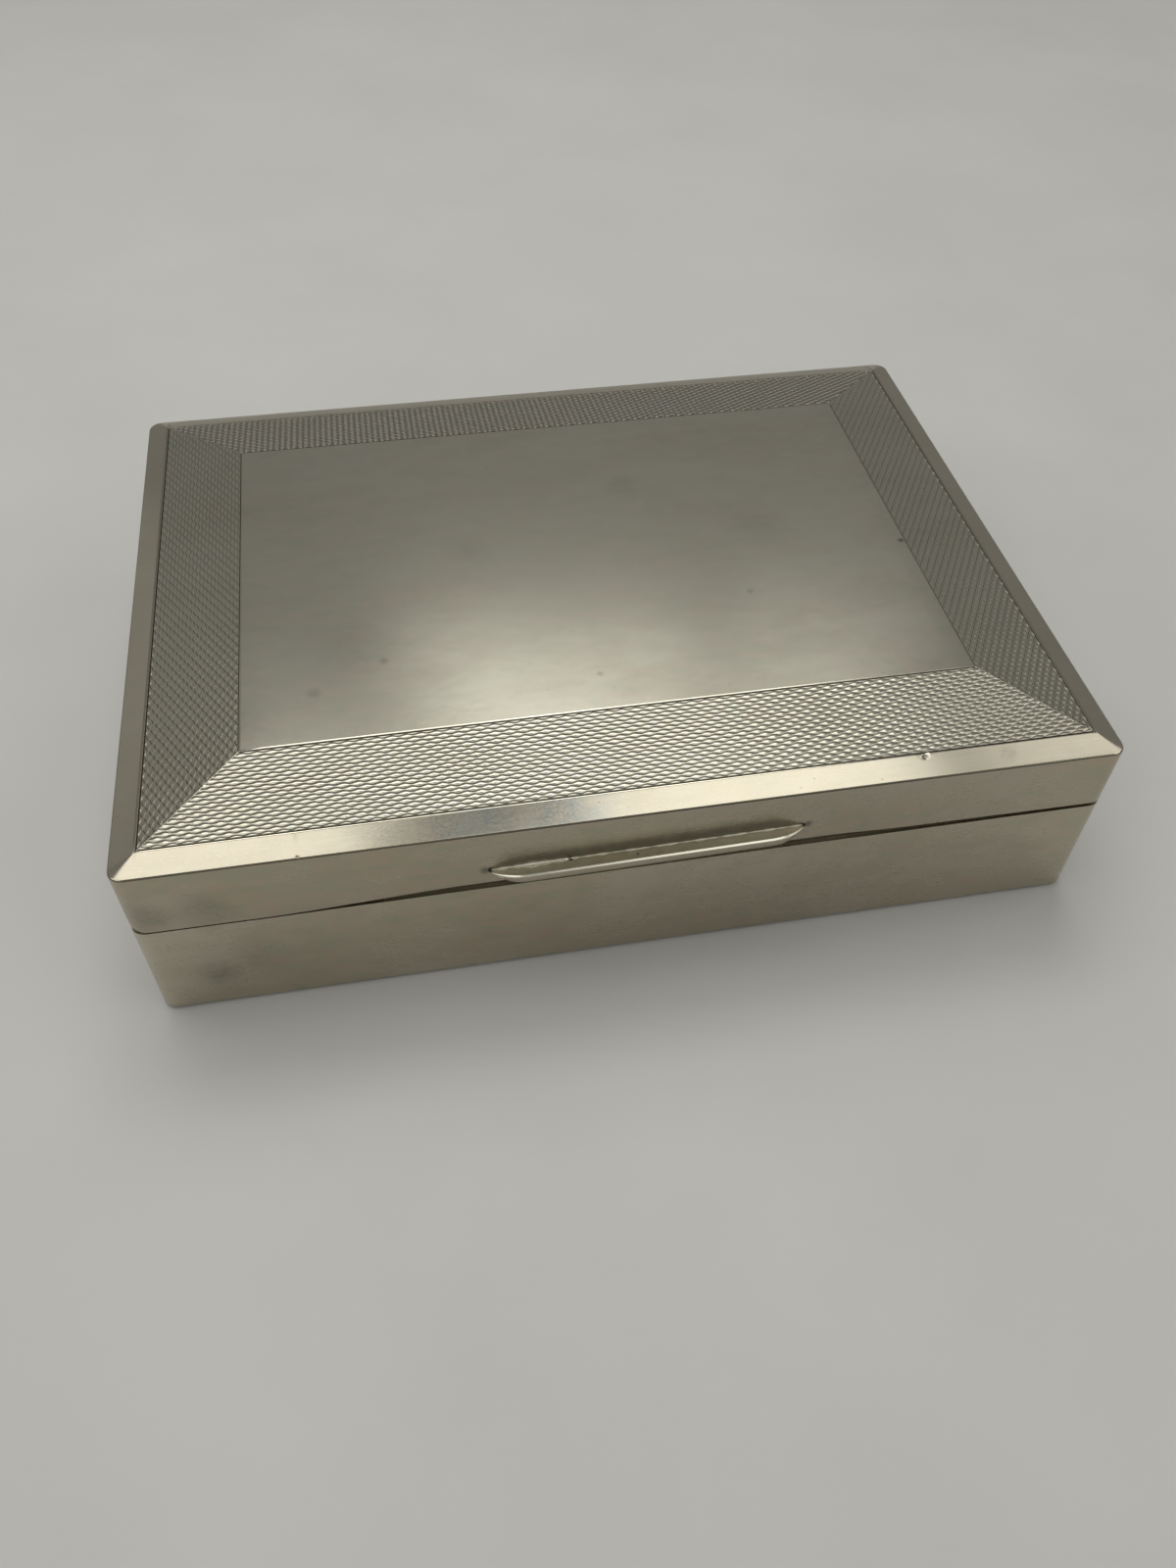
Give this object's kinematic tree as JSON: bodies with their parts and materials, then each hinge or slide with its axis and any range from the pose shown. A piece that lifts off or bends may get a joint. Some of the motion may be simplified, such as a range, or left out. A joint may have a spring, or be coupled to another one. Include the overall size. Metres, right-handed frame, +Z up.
{
  "type": "tobacco box",
  "caption": "Low rectangular silver box with a cedar lining and partition, an engine-turned lid on a full-width back hinge, and a boat-shaped thumbpiece.",
  "frame": {"origin": "on the table, under the middle of the closed box with its thumbpiece", "axes": "+X to the right along the width, +Y from the thumbpiece to the hinge, +Z up"},
  "size_m": [0.165, 0.1268, 0.0406],
  "materials": {
    "sheet_silver": "satin",
    "hinge_silver": "satin",
    "pin_wire": "satin",
    "cedar": "matte",
    "baize": "matte"
  },
  "bodies": {
    "base": {"base_shell": "sheet_silver", "base_board": "cedar", "baize_pad": "baize", "liner_front": "cedar", "liner_back": "cedar", "liner_left": "cedar", "liner_right": "cedar", "partition": "cedar", "hinge_bearer_base": "hinge_silver", "knuckle_base_1": "hinge_silver", "knuckle_base_2": "hinge_silver", "knuckle_base_3": "hinge_silver", "knuckle_base_4": "hinge_silver", "hinge_pin": "pin_wire"},
    "lid": {"lid_shell": "sheet_silver", "lid_board": "cedar", "thumbpiece": "sheet_silver", "hinge_bearer_lid": "hinge_silver", "knuckle_lid_1": "hinge_silver", "knuckle_lid_2": "hinge_silver", "knuckle_lid_3": "hinge_silver"}
  },
  "joints": [
    {"name": "lid_hinge", "type": "hinge", "parent": "base", "child": "lid", "pos_m": [0, 0.0618, 0.0237], "axis": [-1, 0, 0], "range_deg": [0, 100]}
  ]
}
